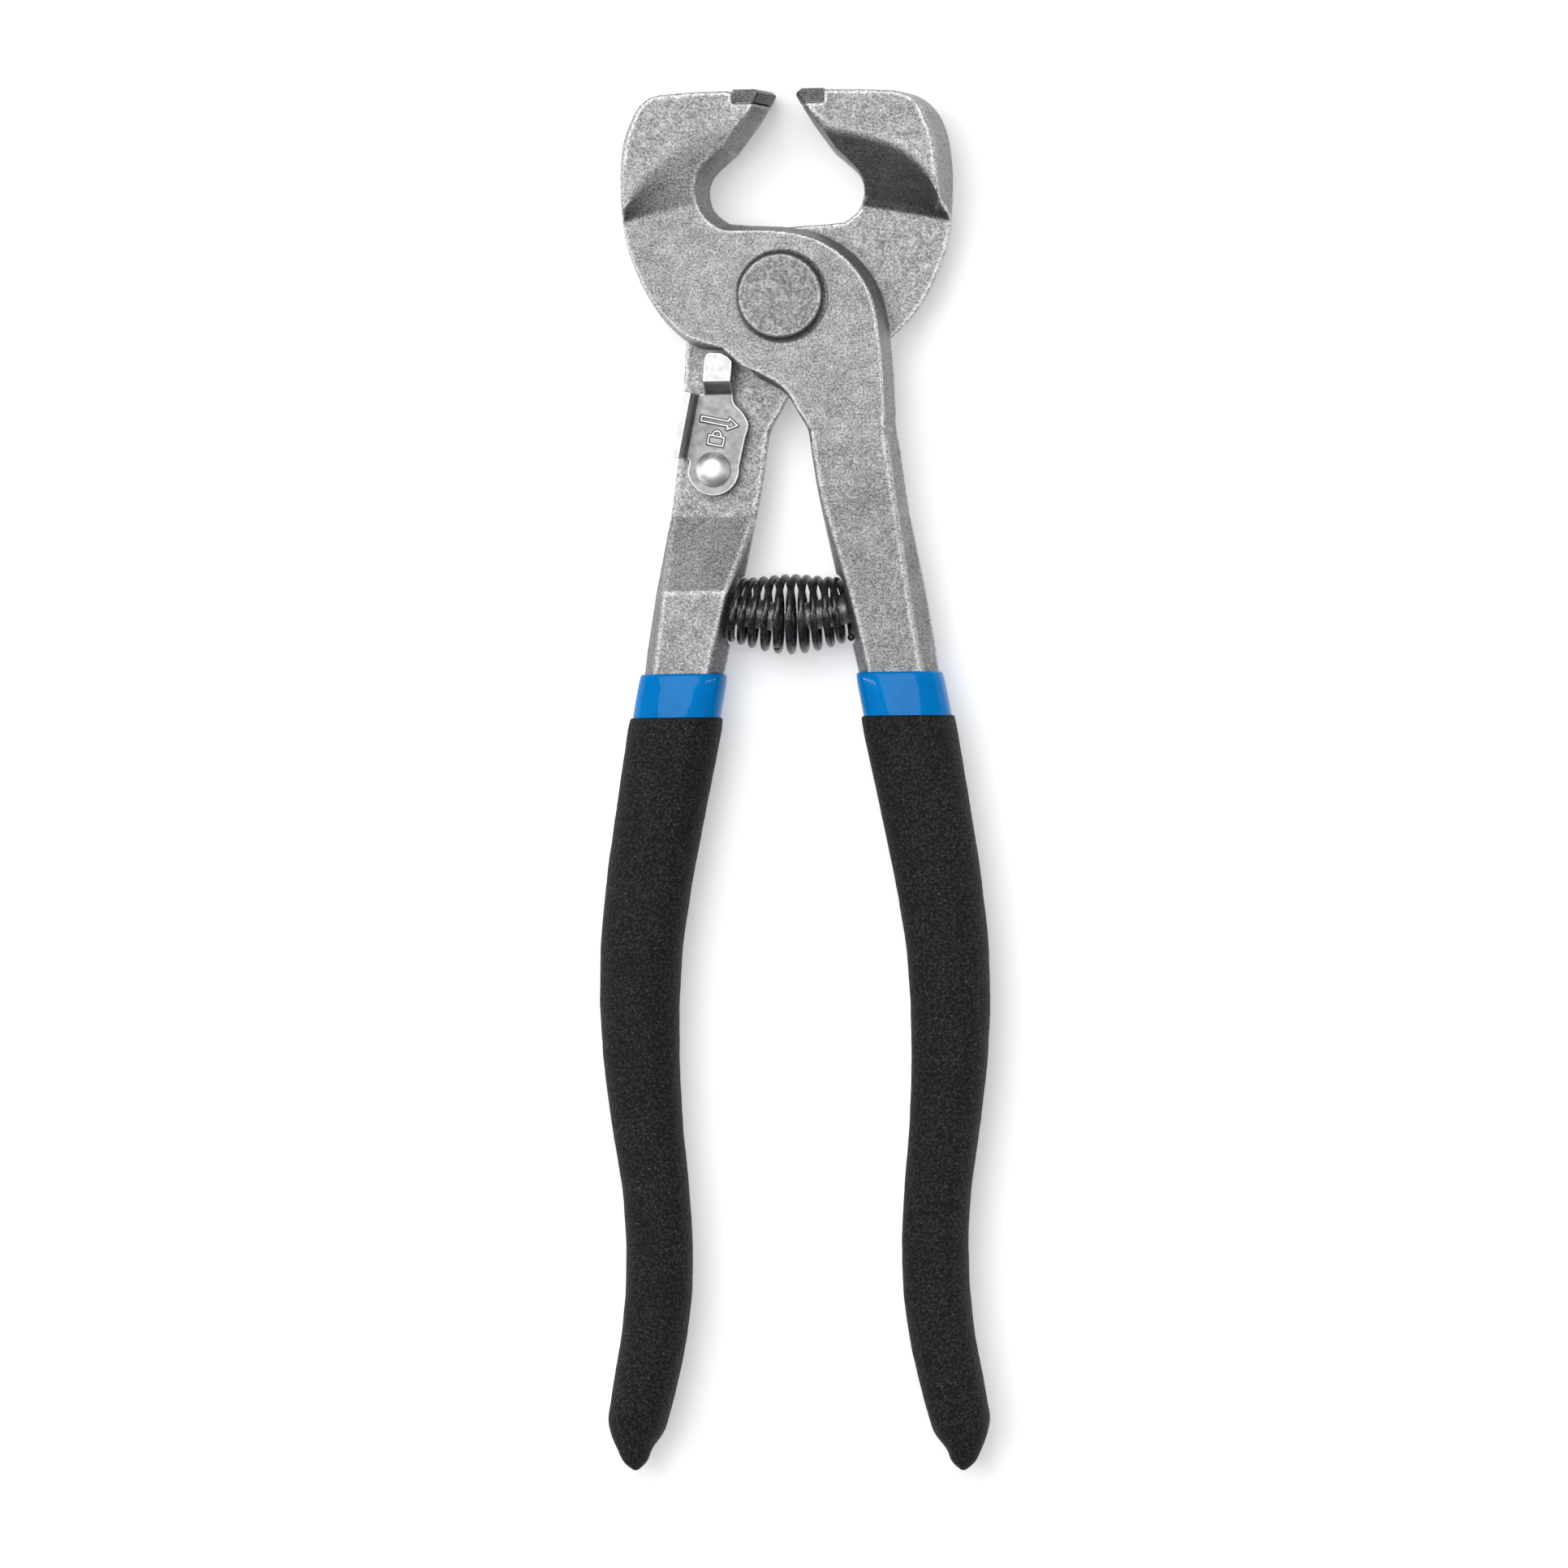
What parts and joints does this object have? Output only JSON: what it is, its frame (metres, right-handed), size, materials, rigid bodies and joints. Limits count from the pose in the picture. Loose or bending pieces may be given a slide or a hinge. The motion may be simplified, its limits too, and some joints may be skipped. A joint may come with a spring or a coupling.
{
  "type": "tile nippers",
  "caption": "Carbide-tipped tile nippers: two crossing forged halves on a flat rivet, with a return spring, a lock lever and dipped grips.",
  "frame": {"origin": "on the pivot rivet's axis, in the plane where the two halves meet", "axes": "+Z along the rivet's axis, out of the side with the lock lever; +Y towards the jaws; +X to the right seen from that side"},
  "size_m": [0.058, 0.2029, 0.0173],
  "materials": {
    "forged_steel": "satin, blasted",
    "carbide": "ground",
    "braze": "satin",
    "rivet_steel": "satin",
    "plated_steel": "satin plated",
    "bright_steel": "polished",
    "spring_steel": "black oxide",
    "blue_vinyl": "gloss",
    "black_foam": "matt, pebbled"
  },
  "bodies": {
    "rear_half": {"rear_half": "forged_steel", "rear_carbide": "carbide", "rear_braze": "braze", "lock_rivet": "bright_steel", "lock_washer": "plated_steel", "return_spring": "spring_steel", "left_grip_liner": "blue_vinyl", "left_grip": "black_foam"},
    "pivot_rivet": {"pivot_rivet": "rivet_steel"},
    "front_half": {"front_half": "forged_steel", "front_carbide": "carbide", "front_braze": "braze", "right_grip_liner": "blue_vinyl", "right_grip": "black_foam"},
    "lock_lever": {"lock_lever": "plated_steel"}
  },
  "joints": [
    {"name": "handles_squeeze", "type": "hinge", "parent": "rear_half", "child": "pivot_rivet", "pos_m": [0, 0, 0], "axis": [0, 0, 1], "range_deg": [-5, 0], "stiffness_Nm_per_rad": 4, "springref_deg": 14.9, "deforming": ["return_spring"]},
    {"name": "handles_open", "type": "hinge", "parent": "pivot_rivet", "child": "front_half", "pos_m": [0, 0, 0], "axis": [0, 0, 1], "range_deg": [0, 15], "deforming": ["return_spring"]},
    {"name": "lever_turn", "type": "hinge", "parent": "rear_half", "child": "lock_lever", "pos_m": [-0.0111, -0.0252, 0], "axis": [0, 0, 1], "range_deg": [0, 52.5]}
  ],
  "couplings": [
    {"joint": "lever_turn", "follows": "handles_open", "ratio": 3.5}
  ]
}
